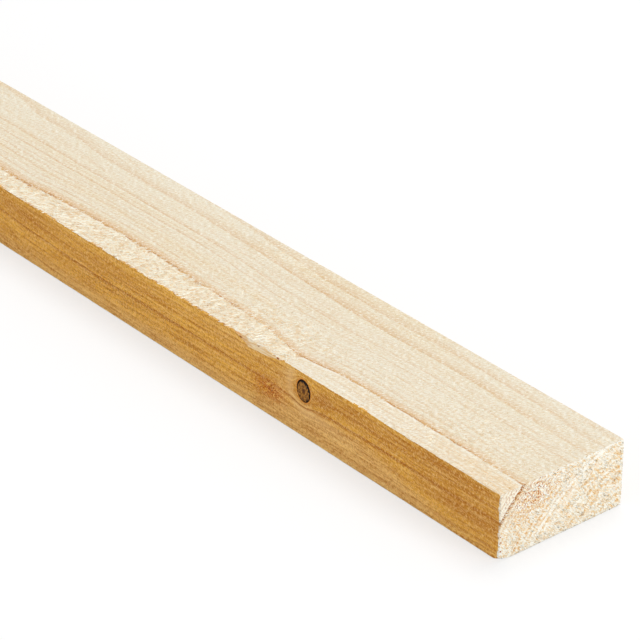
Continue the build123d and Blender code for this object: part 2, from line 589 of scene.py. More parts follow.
def build_knot(mesh, window):
    """Rings of points from the window in to the knot's gap, down it, up again and to the heart."""
    points = np.concatenate(mesh.points)[window]
    spoke = (points[:, [0, 2]] - KNOT[[0, 2]]) / KNOT_HALF
    turn = np.arctan2(spoke[:, 1], spoke[:, 0])
    rim = np.stack([np.cos(turn), np.sin(turn)], -1)
    outer = KNOT[[0, 2]] + rim * KNOT_HALF
    knot_middle = KNOT[[0, 2]] + np.array([GAP_OFFSET, -GAP_OFFSET])
    inner_half = KNOT_HALF - GAP_WIDTH
    wobble = 1 + 0.025 * np.sin(5 * turn + 1) + 0.015 * np.sin(9 * turn)

    def ring(place, depth, part, last):
        home = np.stack([place[:, 0], np.full(len(place), depth), place[:, 1]], -1)
        index = mesh.add_points(home, (0, -1, 0))
        faces = np.stack([last, np.roll(last, -1), np.roll(index, -1), index], -1)
        mesh.add_faces(faces, part)
        return index

    last = window
    for t in (0.22, 0.42, 0.6, 0.76, 0.9, 1.0):
        last = ring(points[:, [0, 2]] * (1 - t) + outer * t, 0, "edge", last)
    inner = knot_middle + rim * inner_half * wobble[:, None]
    last = ring(outer * 0.8 + inner * 0.2, 0.5 * GAP_DEPTH, "knot", last)
    last = ring(outer * 0.6 + inner * 0.4, GAP_DEPTH, "knot", last)
    last = ring(outer * 0.35 + inner * 0.65, GAP_DEPTH, "knot", last)
    last = ring(outer * 0.05 + inner * 0.95, 0.5, "knot", last)
    hills = ((0.95, 0.12), (0.85, 0.0), (0.7, 0.04), (0.55, 0.0), (0.4, 0.06), (0.25, 0.0), (0.12, 0.12))
    for t, depth in hills:
        last = ring(knot_middle + rim * inner_half * t * (wobble * t + 1 - t)[:, None], depth, "knot", last)
    heart = mesh.add_points(np.array([[knot_middle[0], 0.2, knot_middle[1]]]), (0, -1, 0))
    mesh.add_faces([(a, b, heart[0]) for a, b in zip(last, np.roll(last, -1))], "knot")


def carve(home, normal):
    """Final place of each vertex and how deep it lies."""
    p = home.copy()
    out = wood_at(home)[:, 1]
    depth = np.abs(normal[:, 2]) * face_relief(home, out) + np.abs(normal[:, 1]) * edge_relief(home)
    p[:, 1:] -= normal[:, 1:] * depth[:, None]
    clip_arris(p, TORN_HOLLOW)
    clip_arris(p, ARRIS_WEAR)
    dub_corners(p)
    end_depth = end_relief(home, out)
    near, far = home[:, 0], LENGTH - home[:, 0]
    reach = 4.0
    p[:, 0] += (end_depth + in_check(home) * np.abs(normal[:, 0])) * np.clip(1 - near / reach, 0, 1) ** 2
    p[:, 0] -= end_depth * np.clip(1 - far / reach, 0, 1) ** 2
    return p, np.where(np.abs(normal[:, 0]) > 0.5, 1 - end_tufts(home, out), depth)


def torn_open(p):
    """1 on the facet where the arris was torn away, and on the splintered strip below it."""
    on_edge = from_table(TORN_HOLLOW, p[:, 0], 2)
    lowest = THICKNESS - on_edge - 0.1 - 0.3 * noise(p, (3, 50, 50), 61)
    return ramp(p[:, 2], lowest - 0.3, lowest + 0.3) * (on_edge > 0.3)


def in_check(home):
    """How deep the drying check is at each point of the near end."""
    across, up = home[:, 1] - CHECK["across"], home[:, 2] - CHECK["up"]
    lengthways = across * math.cos(CHECK["slope"]) + up * math.sin(CHECK["slope"])
    sideways = up * math.cos(CHECK["slope"]) - across * math.sin(CHECK["slope"])
    inside = (np.abs(sideways) < CHECK["half_wide"]) & (np.abs(lengthways) < CHECK["half_long"])
    return CHECK["deep"] * inside


def set_borders(carved, faces, parts):
    """Which wood shows near the knotty edge: fresh wood on its worn upper arris and round the near
    end. The pale there is partly painted light, on faces turned toward the lamps.
    """
    p = carved[np.array([face[0] for face in faces])]
    wear = from_table(ARRIS_WEAR, p[:, 0], 2)
    lowest = THICKNESS - 0.7 * wear - 0.25 * ramp(p[:, 0], 125, 95)
    lowest = lowest - 0.15 * noise(p, (9, 50, 50), 51) - 0.08 * noise(p, (3, 50, 50), 52)
    from_end = 0.9 + 0.4 * noise(p, (50, 50, 3), 53)
    upper_arris = (p[:, 1] < 1.5) & (p[:, 2] > THICKNESS - 2.5)
    borders = []
    for part, worn, z, border, x, splintered in zip(parts, upper_arris, p[:, 2], lowest, p[:, 0], from_end):
        # The pale face colour on the upper part of the worn arris, and the end colour on the edge's border at
        # the near end, are partly painted light.
        if part in ("face", "edge") and worn:
            part = "face" if z > border else "edge"
        borders.append("end" if part == "edge" and x < splintered else part)
    return borders


def stains_and_pit_shade(p):
    """Where dark specks gather: scattered on the knotty edge and in the near end's upper corner, with
    painted shade as two nicks at the ends of the hollow and in the near end's pits."""
    on_edge = 0.35 + 0.8 * spot(p, [0, 2], (372, 22), (60, 9)) + spot(p, [0, 2], (533, 40), (16, 6))
    nicks = 2.4 * sum(spot(p, [0, 2], at, (1.7, 0.9)) for at in ((208.5, 46), (246.5, 45.2), (229, 46.2)))
    on_end = 1.3 * spot(p, [1, 2], (25, 37), (20, 12))
    on_end = on_end + 2 * sum(spot(p, [1, 2], at, (0.9, 0.9)) for at in END_PITS)
    return np.where(p[:, 0] < 3, on_end, (on_edge + nicks) * ramp(p[:, 1], 3, 1))


def on_knotty_edge(p):
    """1 on the knotty edge, fading out just behind it."""
    return ramp(p[:, 1], 6, 2)


def pitchy(p):
    """Where the knotty edge is torn and orange with pitch, below the hollow."""
    return spot(p, [0, 2], (217, 20), (13, 6)) * on_knotty_edge(p)


def edge_tone(p):
    """Broad patches of the knotty edge: above 0 they are paler, below 0 more golden. The long pale
    strip along its foot is painted light against the floor's shade.
    """
    pale = [
        ((140, 11), (64, 12), 1.9), ((198, 41), (9, 9), 0.9), ((255, 40), (40, 6), 0.6),
        # The (330, 3) patch is painted light: it lifts the shade that the floor casts on the edge's foot.
        ((330, 3), (420, 9), 1.1), ((205, 26), (7, 10), 0.7),
    ]
    golden = [
        ((130, 37), (40, 8), 0.9), ((490, 37), (60, 11), 1.0), ((28, 21), (60, 10), 1.6),
        ((40, 40), (60, 8), 1.1), ((290, 20), (60, 8), 0.3), ((163, 35), (8, 6), 1.5),
    ]
    tone = sum(most * spot(p, [0, 2], at, reach) for at, reach, most in pale)
    tone = tone - sum(most * spot(p, [0, 2], at, reach) for at, reach, most in golden)
    return tone * on_knotty_edge(p)


def pale_sweep(p):
    """The clear band of wood that sweeps down beside the knot and away under it."""
    away = p[:, [0, 2]] - KNOT[[0, 2]]
    apart = np.linalg.norm(away, axis=1)
    side = ramp(away[:, 0] - 0.8 * away[:, 1], -4, 5)
    round_knot = np.exp(-(((apart - 14) / 3.6) ** 2)) * side
    onward = spot(p, [0, 2], (166, 19.5), (17, 3))
    return np.clip(round_knot + 0.8 * onward, 0, 1) * on_knotty_edge(p)


def halo(p):
    """1 against the knot's rim, fading out round it."""
    reach = np.linalg.norm((p[:, [0, 2]] - KNOT[[0, 2]]) / KNOT_HALF, axis=1)
    return ramp(reach, 1.18, 1.02) * on_knotty_edge(p)


def to_row(p):
    """Plank millimetres to the row frame's metres."""
    return np.stack([HIGH[0] - p[:, 0], LOW[1] + p[:, 1], LOW[2] + p[:, 2]], -1) / 1000


def new_object(name, points, faces, materials, part_slots=None):
    """A mesh object in the scene, with outward normals."""
    mesh = bpy.data.meshes.new(name)
    mesh.from_pydata(points.tolist(), [], faces)
    for material in materials:
        mesh.materials.append(material)
    if part_slots is not None:
        mesh.polygons.foreach_set("material_index", part_slots)
    thing = bpy.data.objects.new(name, mesh)
    bpy.context.scene.collection.objects.link(thing)
    return thing


def face_outward(mesh):
    """Turns the faces of a closed mesh outward."""
    work = bmesh.new()
    work.from_mesh(mesh)
    bmesh.ops.recalc_face_normals(work, faces=work.faces)
    work.to_mesh(mesh)
    work.free()


def set_attribute(mesh, name, values):
    """Stores one number or one vector for each vertex, for the materials to read."""
    kind, key = ("FLOAT_VECTOR", "vector") if values.ndim == 2 else ("FLOAT", "value")
    mesh.attributes.new(name, kind, "POINT").data.foreach_set(key, values.astype(np.float32).ravel())


# Materials

def add_node(tree, kind, inputs=None, **settings):
    """Adds a node with its settings; inputs maps a socket to a value or to what feeds it."""
    node = tree.nodes.new(kind)
    for name, value in settings.items():
        setattr(node, name, value)
    for socket, source in (inputs or {}).items():
        if isinstance(source, bpy.types.NodeSocket):
            tree.links.new(source, node.inputs[socket])
        else:
            node.inputs[socket].default_value = source
    return node


def new_material(name, roughness, specular):
    """A node material with only its shader and output."""
    material = bpy.data.materials.new(name)
    material.use_nodes = True
    tree = material.node_tree
    tree.nodes.clear()
    shader = add_node(
        tree, "ShaderNodeBsdfPrincipled", {"Roughness": roughness, "Specular IOR Level": specular, "IOR": 1.5}
    )
    output = add_node(tree, "ShaderNodeOutputMaterial")
    tree.links.new(shader.outputs["BSDF"], output.inputs["Surface"])
    return material, tree, shader


def product(tree, *shares):
    """Where several shares meet."""
    met = shares[0]
    for share in shares[1:]:
        met = add_node(tree, "ShaderNodeMath", {0: met, 1: share}, operation="MULTIPLY").outputs[0]
    return met


def blend(tree, *patterns, start=0.0):
    """Patterns added up, each by its weight, from a starting value."""
    total = start
    for pattern, weight in patterns:
        total = add_node(
            tree, "ShaderNodeMath", {0: pattern, 1: weight, 2: total}, operation="MULTIPLY_ADD"
        ).outputs[0]
    return total


def stored(tree, name):
    """A number stored at the vertices."""
    return add_node(tree, "ShaderNodeAttribute", attribute_name=name).outputs["Fac"]


def cell_noise(tree, cell, detail=2.0, source="grain", turn=0.0, axis="Z_AXIS"):
    """Noise whose bumps have the given size in mm, in the grain's directions or the plank's own."""
    where = add_node(tree, "ShaderNodeAttribute", attribute_name=source).outputs["Vector"]
    if turn:
        where = add_node(
            tree, "ShaderNodeVectorRotate", {"Vector": where, "Angle": turn}, rotation_type=axis
        ).outputs[0]
    scaled = add_node(
        tree, "ShaderNodeVectorMath", {0: where, 1: [1 / c for c in cell]}, operation="MULTIPLY"
    ).outputs[0]
    return add_node(
        tree, "ShaderNodeTexNoise", {"Vector": scaled, "Scale": 1.0, "Detail": detail, "Roughness": 0.55}
    ).outputs["Fac"]


def between(tree, value, low, high, most=1.0):
    """0 below low, the most above high, smooth between."""
    return add_node(
        tree, "ShaderNodeMapRange", {0: value, 1: low, 2: high, 4: most}, interpolation_type="SMOOTHSTEP"
    ).outputs[0]


def component(tree, name, axis):
    """One component of a vector stored at the vertices."""
    vector = add_node(tree, "ShaderNodeAttribute", attribute_name=name).outputs["Vector"]
    return add_node(tree, "ShaderNodeSeparateXYZ", {0: vector}).outputs[axis]


def vector_from(tree, middle, scale):
    """The way from a point of the plank to each place, each component scaled."""
    away = add_node(tree, "ShaderNodeAttribute", attribute_name="place").outputs["Vector"]
    for operation, by in (("SUBTRACT", tuple(middle)), ("MULTIPLY", scale)):
        away = add_node(tree, "ShaderNodeVectorMath", {0: away, 1: by}, operation=operation).outputs[0]
    return away


def slot_of(tree, value, start, full, fade, end):
    """1 between full and fade, 0 before start and after end."""
    return product(tree, between(tree, value, start, full), between(tree, value, end, fade))


def part_of_ring(tree, rings):
    """How far out in its own ring each place lies, from 0 to 1."""
    return add_node(tree, "ShaderNodeMath", {0: rings}, operation="FRACT").outputs[0]


def latewood(tree):
    """How dark the ring line is: a soft rise through each ring and a sharp end."""
    late = add_node(tree, "ShaderNodeValToRGB", {"Fac": part_of_ring(tree, stored(tree, "ring"))})
    stops = late.color_ramp.elements
    stops[0].position, stops[0].color = 0.0, (0.3, 0.3, 0.3, 1)
    stops[1].position, stops[1].color = 1.0, (0.9, 0.9, 0.9, 1)
    for position, level in ((0.07, 0.03), (0.35, 0.1), (0.6, 0.36), (0.8, 0.68), (0.93, 1.0)):
        stops.new(position).color = (level, level, level, 1)
    return product(tree, late.outputs["Color"], stored(tree, "late"))


def layers(tree, wood, *coats):
    """Lays colours over the wood one after another, each by its share."""
    for share, colour in coats:
        colour = srgb(colour) if isinstance(colour, str) else colour
        wood = add_node(
            tree, "ShaderNodeMix", {0: share, 6: wood, 7: colour}, data_type="RGBA", clamp_factor=True
        ).outputs[2]
    return wood


def surface(tree, shader, wood, rise=None, strength=0.0, height=0.0):
    """Gives the shader its colour, and where there is a rise a bump of that height in metres."""
    tree.links.new(wood, shader.inputs["Base Color"])
    if rise is not None:
        bump = add_node(tree, "ShaderNodeBump", {"Strength": strength, "Distance": height, "Height": rise})
        tree.links.new(bump.outputs["Normal"], shader.inputs["Normal"])


def sawn_face(colours):
    """Whitewood, rough-sawn and fresh: cream, with tan ring lines and fine streaks along the grain,
    with painted light and shade on its nap and painted shade in its hollows. Dry sawn wood
    scatters nearly all light, so it is almost without gloss."""
    material, tree, shader = new_material("whitewood_rough_sawn", 0.85, 0.2)
    late = tuple(colours.late)
    streak = cell_noise(tree, (60, 1.3, 1.3), 3)
    fine = cell_noise(tree, (14, 0.6, 0.6))
    band = cell_noise(tree, (240, 7, 30))
    breaks = cell_noise(tree, (14, 3, 3))
    pit_shade_dashes = cell_noise(tree, (5, 0.9, 2))
    nap = cell_noise(tree, (0.8, 2.6, 0.9), 2, "place", math.radians(-38))
    fleck = cell_noise(tree, (1.5, 1.0, 0.9), 2, "place")
    pit, along = stored(tree, "pit"), component(tree, "place", 0)
    depth = blend(tree, (pit, 1.0), (fleck, 1.0))
    beyond = blend(tree, (component(tree, "grain", 1), 1.0), start=-MAIN_RING)
    main_line = slot_of(tree, beyond, -4.0, -2.2, 0.0, 0.3)
    past_knot = blend(tree, (between(tree, along, 172, 208), 0.1), start=0.4)
    crack = slot_of(tree, beyond, -0.5, -0.2, 0.05, 0.3)
    lip = slot_of(tree, beyond, 0.2, 0.5, 1.0, 1.6)
    near_end = between(tree, along, 90, 10, 0.5)
    wood = layers(
        tree, tuple(colours.early),
        (between(tree, band, 0.45, 0.75, 0.4), tuple(colours.blush)),
        (product(tree, latewood(tree), between(tree, streak, 0.05, 0.55), 0.75), late),
        (between(tree, streak, 0.5, 0.74, 0.25), late),
        (between(tree, fine, 0.52, 0.72, 0.22), late),
        (between(tree, beyond, 0.4, 1.6, 0.3), "#fff9e9"),
        (product(tree, main_line, past_knot), "#deb07a"),
        # The nap stripes stand for raised fibres: partly their own colour, partly painted light on their tops
        # and painted shade beside them.
        (between(tree, nap, 0.5, 0.66, 0.5), "#dfc394"),
        (between(tree, nap, 0.49, 0.36, 0.85), "#fbf6e8"),
        (product(tree, crack, between(tree, breaks, 0.46, 0.58, 0.7)), "#bd8149"),
        (product(tree, lip, between(tree, breaks, 0.36, 0.6, 0.7)), "#faf4e6"),
        # Tan laid by depth is painted shade: warm shade in the hollows of the relief.
        (between(tree, depth, 1.05, 1.5, 0.5), "#e2bb85"),
        (between(tree, depth, 1.6, 1.9, 0.7), "#bd8449"),
        (product(tree, between(tree, beyond, 0.8, 3), between(tree, fine, 0.4, 0.6), near_end), "#ecc488"),
        # Small tan dashes over the deeper relief are painted shade in pits.
        (product(tree, between(tree, pit, 0.25, 0.5), between(tree, pit_shade_dashes, 0.67, 0.75)), "#c08a55"),
    )
    surface(tree, shader, wood, blend(tree, (fleck, 1.0), (fine, 0.5), (nap, 0.9)), 0.9, 0.0006)
    return material


def sawn_edge(colours):
    """The same wood where the edge has stood in the light: yellowed to golden brown and darkened
    further with painted shade, its lines darker, and pale again where the arris has torn."""
    material, tree, shader = new_material("whitewood_sawn_edge_yellowed_with_painted_shade", 0.8, 0.2)
    late, pale = tuple(colours.edge_late_with_painted_shade), srgb("#f8d088")
    streak = cell_noise(tree, (40, 1.3, 1.3), 3)
    fine = cell_noise(tree, (10, 0.6, 0.6))
    band = cell_noise(tree, (120, 5, 8))
    fleck = cell_noise(tree, (2.2, 2.2, 0.8), 2, "place", math.radians(36), "Y_AXIS")
    speck = cell_noise(tree, (1.2, 1.2, 0.8), 2, "place")
    mottle = cell_noise(tree, (3.2, 3, 2.2), 2, "place")
    patch, sweep, pitch, stain_and_pit_shade = (stored(tree, name) for name in ("patch", "sweep", "pitch", "stain_and_pit_shade"))
    # The golden edge colours laid here carry painted shade on top of the yellowing.
    wood = layers(
        tree, tuple(colours.edge_early_with_painted_shade),
        (between(tree, band, 0.38, 0.68, 0.35), late),
        (between(tree, patch, 0, 1.4, 0.68), pale),
        (between(tree, patch, 0, -1.6, 0.65), late),
        (product(tree, latewood(tree), between(tree, streak, 0.0, 0.5), 0.9), late),
        (between(tree, streak, 0.5, 0.66, 0.6), late),
        (between(tree, streak, 0.46, 0.3, 0.42), pale),
        (between(tree, fine, 0.52, 0.68, 0.5), late),
        (between(tree, mottle, 0.54, 0.7, 0.3), late),
        (between(tree, fleck, 0.52, 0.62, 0.62), pale),
        (between(tree, fleck, 0.46, 0.38, 0.55), late),
        (product(tree, sweep, 0.5), "#eec486"),
    )
    beyond = blend(tree, (component(tree, "grain", 1), 1.0), (mottle, 0.8), start=-MAIN_RING)
    for start, share, colour in ((-2.3, 0.6, pale), (-0.7, 0.85, "#a5641d"), (0.9, 0.7, pale)):
        line = slot_of(tree, beyond, *(start + step for step in (0, 0.5, 0.9, 1.4)))
        wood = layers(tree, wood, (product(tree, line, sweep, share), colour))
    torn = blend(tree, (stored(tree, "torn"), 1.0), (fleck, 0.6), start=-0.3)
    # The torn facet's colour is fresh wood, and painted half-light between the lit face and the shaded edge.
    fresh = layers(
        tree, srgb("#dba566"),
        (between(tree, streak, 0.42, 0.6), "#f3d7a6"),
        (between(tree, fine, 0.54, 0.64, 0.6), "#fbf0d8"),
    )
    wood = layers(
        tree, wood,
        (product(tree, stored(tree, "halo"), 0.8), "#d98a3c"),
        (product(tree, pitch, between(tree, speck, 0.42, 0.54, 1.3)), "#c4660f"),
        (product(tree, pitch, between(tree, speck, 0.57, 0.63, 1.4)), "#8a430c"),
        (product(tree, stain_and_pit_shade, between(tree, speck, 0.6, 0.66)), "#6b4420"),
        (between(tree, torn, 0.35, 0.65), fresh),
        # The strongest brown sits in the nicks: painted shade.
        (between(tree, stain_and_pit_shade, 1.3, 2.0), "#9c5a2a"),
    )
    surface(tree, shader, wood, blend(tree, (fleck, 1.0), (fine, 0.6)), 0.9, 0.0005)
    return material


def cut_end(colours):
    """Cross-cut end grain: the saw leaves white fibre tips standing over torn tan hollows, whose
    tan is also painted shade.
    """
    material, tree, shader = new_material("whitewood_cross_cut", 0.9, 0.1)
    pull = cell_noise(tree, (20, 2.8, 0.7), 2, "place", math.radians(39), "X_AXIS")
    speck = cell_noise(tree, (20, 0.8, 0.8), 2, "place")
    dot = cell_noise(tree, (20, 1.3, 1.3), 1, "place")
    clump = cell_noise(tree, (20, 3.4, 3.4), 2, "place")
    out = component(tree, "grain", 1)
    depth = blend(tree, (stored(tree, "pit"), 0.8), (pull, 3.4), (speck, 1.0), (clump, 1.2))
    early = slot_of(tree, part_of_ring(tree, stored(tree, "ring")), 0.0, 0.12, 0.4, 0.62)
    wood = layers(
        tree, tuple(colours.end_pale),
        # Tan and orange by depth: the torn grain's colour, with painted shade in the hollows.
        (between(tree, depth, 2.8, 3.35), tuple(colours.end_torn_and_painted_shade)),
        (between(tree, depth, 3.4, 3.9, 0.6), "#cf9052"),
        (product(tree, early, stored(tree, "late"), between(tree, clump, 0.42, 0.56, 0.9)), "#f7f4ea"),
    )
    # Rings whose pale fibres the saw left standing as a burr, by radius
    wavy = blend(tree, (out, 1.0), (clump, 4.0), start=-2.0)
    for radius, share in ((109.4, 0.9), (103.6, 0.55), (77.0, 0.6), (93.0, 0.4)):
        burr = slot_of(tree, wavy, *(radius + step for step in (-1.7, -0.9, 0.9, 1.7)))
        wood = layers(tree, wood, (product(tree, burr, share), "#f9f7ee"))
    past_main = blend(tree, (out, 1.0), start=-MAIN_RING)
    beyond = between(tree, past_main, -0.2, 0.3)
    wood = layers(
        tree, wood,
        (product(tree, beyond, 0.85), "#f4efdd"),
        (product(tree, latewood(tree), blend(tree, (beyond, 0.5), start=0.12)), "#c9a26e"),
    )
    inner_bands = (
        (-8.6, 0.5, "#f4eddb"), (-6.6, 0.55, "#dbb98a"), (-4.9, 0.6, "#f3ead4"), (-3.4, 0.8, "#dfc192"),
    )
    for start, share, colour in inner_bands:
        band = slot_of(tree, past_main, *(start + step for step in (0, 0.5, 1.5, 2.2)))
        wood = layers(tree, wood, (product(tree, band, share), colour))
    main_line = slot_of(tree, past_main, -2.6, -1.5, -0.2, 0.4)
    dusty = product(tree, between(tree, clump, 0.46, 0.58), between(tree, speck, 0.54, 0.62))
    wood = layers(
        tree, wood,
        (product(tree, main_line, between(tree, dot, 0.36, 0.5)), "#a0703f"),
        # Brown dots: real specks in the upper corner, painted shade in the three pits.
        (product(tree, stored(tree, "stain_and_pit_shade"), between(tree, dot, 0.54, 0.62)), "#b0622a"),
        (product(tree, stored(tree, "rim"), dusty), "#6d6a4c"),
    )
    surface(tree, shader, wood, blend(tree, (speck, 1.0), (pull, 1.0)), 0.5, 0.0005)
    return material


def dead_knot(colours):
    """A dead branch, sawn across: brown and mottled, its rim black with bark and pitch."""
    material, tree, shader = new_material("dead_knot_sawn", 0.7, 0.15)
    middle = (KNOT[0] + GAP_OFFSET, 0, KNOT[2] - GAP_OFFSET)
    away = vector_from(tree, middle, (1 / KNOT_HALF[0], 0, 1 / KNOT_HALF[1]))
    reach = add_node(tree, "ShaderNodeVectorMath", {0: away}, operation="LENGTH").outputs["Value"]
    lean = add_node(
        tree, "ShaderNodeVectorMath", {0: away, 1: (-0.11, 0, 0.11)}, operation="DOT_PRODUCT"
    ).outputs["Value"]
    mottle = cell_noise(tree, (1.5, 1.5, 2.4), 3, "place")
    fine = cell_noise(tree, (0.6, 0.6, 1.1), 2, "place")
    wavy = blend(tree, (reach, 1.0), (mottle, 0.6), start=-0.3)
    rings = part_of_ring(tree, product(tree, wavy, 4.0))
    wood = layers(
        tree, tuple(colours.knot),
        (between(tree, mottle, 0.46, 0.56, 0.85), "#5c3712"),
        (between(tree, fine, 0.52, 0.62, 0.75), "#c98f42"),
        (between(tree, rings, 0.7, 1.0, 0.25), "#4f2f12"),
        (between(tree, wavy, 0.28, 0.1, 0.85), "#431c0a"),
        (between(tree, blend(tree, (wavy, 1.0), (lean, 1.0)), 0.82, 0.9), tuple(colours.bark)),
    )
    surface(tree, shader, wood, fine, 0.7, 0.0005)
    return material


def raised_fibre(name, pale, dark):
    """Loose fibres lifted by the saw, each a little paler or darker than the wood under it."""
    material, tree, shader = new_material(name, 0.85, 0.15)
    surface(tree, shader, layers(tree, srgb(pale), (stored(tree, "tone"), dark)))
    return material


# Fibres

def fibre_piece(name, corners, patterns, tones, material):
    """Many fibres as one piece: each corner of every fibre, and the faces that join them."""
    first = np.arange(len(tones))[:, None, None] * len(corners)
    faces = []
    for pattern in patterns:
        faces += (first + np.array(pattern)).reshape(-1, len(pattern[0])).tolist()
    points = np.stack(corners, 1).reshape(-1, 3)
    inside = np.clip(points, INSIDE_BOX, np.array([LENGTH, WIDTH, THICKNESS]) - INSIDE_BOX)
    thing = new_object(name, to_row(inside), faces, [material])
    set_attribute(thing.data, "tone", np.repeat(tones, len(corners)))
    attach(thing, "root")


def across_frame(ways, normal):
    """Two directions at right angles to each way, the second one nearest to the surface's normal."""
    side = unit(np.cross(ways, normal))
    return side, unit(np.cross(side, ways))


def three_corners(middle, side, rise, widths):
    """Corners of a triangle round each middle, the first one away from the surface."""
    return [
        middle + (rise * math.sin(angle) + side * math.cos(angle)) * (widths / 2)[:, None]
        for angle in np.radians((90, 210, 330))
    ]


def curls(name, roots, ways, normal, lengths, widths, lifts, bends, tones, material):
    """Tapered three-sided strands that rise from the surface in a bow and end in a point."""
    side, rise = across_frame(ways, normal)
    corners = []
    for t in (0.0, 0.35, 0.7):
        middle = roots + ways * (lengths * t)[:, None] + rise * (lifts * math.sin(2.2 * t))[:, None]
        middle = middle + side * (bends * t * t)[:, None]
        corners += three_corners(middle, side, rise, widths * (1 - 0.6 * t))
    corners.append(roots + ways * lengths[:, None] + rise * (lifts * 0.5)[:, None] + side * bends[:, None])
    sides = ((0, 1), (1, 2), (2, 0))
    quads = [(k + a, k + 3 + a, k + 3 + b, k + b) for k in (0, 3) for a, b in sides]
    tips = [(6 + a, 9, 6 + b) for a, b in sides] + [(0, 1, 2)]
    fibre_piece(name, corners, (quads, tips), tones, material)


def spikes(name, roots, ways, normal, lengths, widths, tones, material):
    """Short three-sided points."""
    side, rise = across_frame(ways, normal)
    corners = three_corners(roots, side, rise, widths) + [roots + ways * lengths[:, None]]
    fibre_piece(name, corners, [[(0, 3, 1), (1, 3, 2), (2, 3, 0), (0, 1, 2)]], tones, material)


def scatter(rng, count, density, low, high):
    """Random points in a box, kept where the density says so."""
    kept = np.empty((0, 3))
    while len(kept) < count:
        p = rng.uniform(low, high, (count, 3))
        kept = np.concatenate([kept, p[rng.random(count) < density(p)]])
    return kept[:count]


def seen_plainly(tree):
    """1 for what the camera sees straight on, in a gloss or through something clear."""
    path = add_node(tree, "ShaderNodeLightPath")
    seen = path.outputs["Is Camera Ray"]
    for kind in ("Is Glossy Ray", "Is Transmission Ray"):
        either = {0: seen, 1: path.outputs[kind]}
        seen = add_node(tree, "ShaderNodeMath", either, operation="MAXIMUM").outputs[0]
    return seen


class PLANK_OT_stage(bpy.types.Operator):
    """Adds the pale floor, the soft studio light and the camera"""

    bl_idname = "plank.stage"
    bl_label = "Stage"

    def execute(self, context):
        stage = context.scene.plank_stage
        aim = Vector((HIGH[0] / 1000 - stage.aim_along, stage.aim_across, 0))
        self.add_floor(context)
        self.add_lights(context, stage)
        self.add_camera(context, stage, aim)
        return {"FINISHED"}

    def add_floor(self, context):
        """A sheet of 120 m, just under the plank so that the two don't touch."""
        points = 60.0 * np.array([(-1, -1, 0), (1, -1, 0), (1, 1, 0), (-1, 1, 0)])
        floor = new_object("floor", points, [(0, 1, 2, 3)], [self.floor_material(context)])
        floor.location.z = -0.0002

    def floor_material(self, context):
        """White paper sweep: matt, and lifted to plain white where the camera sees it unshaded."""
        material, tree, shader = new_material("studio_floor_matt", 0.95, 0.0)
        shader.inputs["Base Color"].default_value = tuple(context.scene.plank_colours.floor)
        lift = add_node(tree, "ShaderNodeEmission", {"Color": (1, 1, 1, 1), "Strength": 1.06})
        both = add_node(
            tree, "ShaderNodeMixShader",
            {0: product(tree, seen_plainly(tree), 0.6), 1: shader.outputs["BSDF"], 2: lift.outputs[0]},
        )
        output = next(node for node in tree.nodes if node.type == "OUTPUT_MATERIAL")
        tree.links.new(both.outputs[0], output.inputs["Surface"])
        return material

    def add_lights(self, context, stage):
        """Three softboxes and an even sky, which is plain white where the camera sees it."""
        world = bpy.data.worlds.new("studio_sky")
        world.use_nodes = True
        context.scene.world = world
        tree = world.node_tree
        tree.nodes.clear()
        plain = add_node(tree, "ShaderNodeBackground", {"Color": (1, 1, 1, 1), "Strength": stage.sky})
        white = add_node(tree, "ShaderNodeBackground", {"Color": (1, 1, 1, 1), "Strength": 1.0})
        either = add_node(
            tree, "ShaderNodeMixShader", {0: seen_plainly(tree), 1: plain.outputs[0], 2: white.outputs[0]}
        )
        output = add_node(tree, "ShaderNodeOutputWorld")
        tree.links.new(either.outputs[0], output.inputs["Surface"])
        self.add_softbox(context, "overhead_softbox", (0.6, 0.9, 3.0), 1.6, 36)
        self.add_softbox(context, "end_softbox", (4.2, 0.6, 1.1), 1.2, 41)
        self.add_softbox(context, "front_softbox", (0.9, -3.2, 0.7), 1.8, 13)

    def add_softbox(self, context, name, place, size, power):
        """A square softbox aimed at the near end of the plank."""
        light = bpy.data.lights.new(name, "AREA")
        light.shape = "SQUARE"
        light.size = size
        light.energy = power
        lamp = bpy.data.objects.new(name, light)
        lamp.location = place
        target = Vector((0.9, 0, 0.03))
        lamp.rotation_euler = (target - lamp.location).to_track_quat("-Z", "Y").to_euler()
        lamp.visible_camera = False
        context.scene.collection.objects.link(lamp)

    def add_camera(self, context, stage, aim):
        """A long lens about two metres off, held upright."""
        back = Vector((
            math.sin(stage.azimuth) * math.cos(stage.elevation),
            -math.cos(stage.azimuth) * math.cos(stage.elevation),
            math.sin(stage.elevation),
        ))
        camera = bpy.data.objects.new("camera", bpy.data.cameras.new("camera"))
        camera.data.sensor_width = 36
        camera.data.lens = stage.lens
        camera.data.clip_end = 200
        camera.location = aim + back * stage.distance
        camera.rotation_euler = (-back).to_track_quat("-Z", "Y").to_euler()
        context.scene.collection.objects.link(camera)
        context.scene.camera = camera
        context.scene.view_settings.view_transform = "Standard"


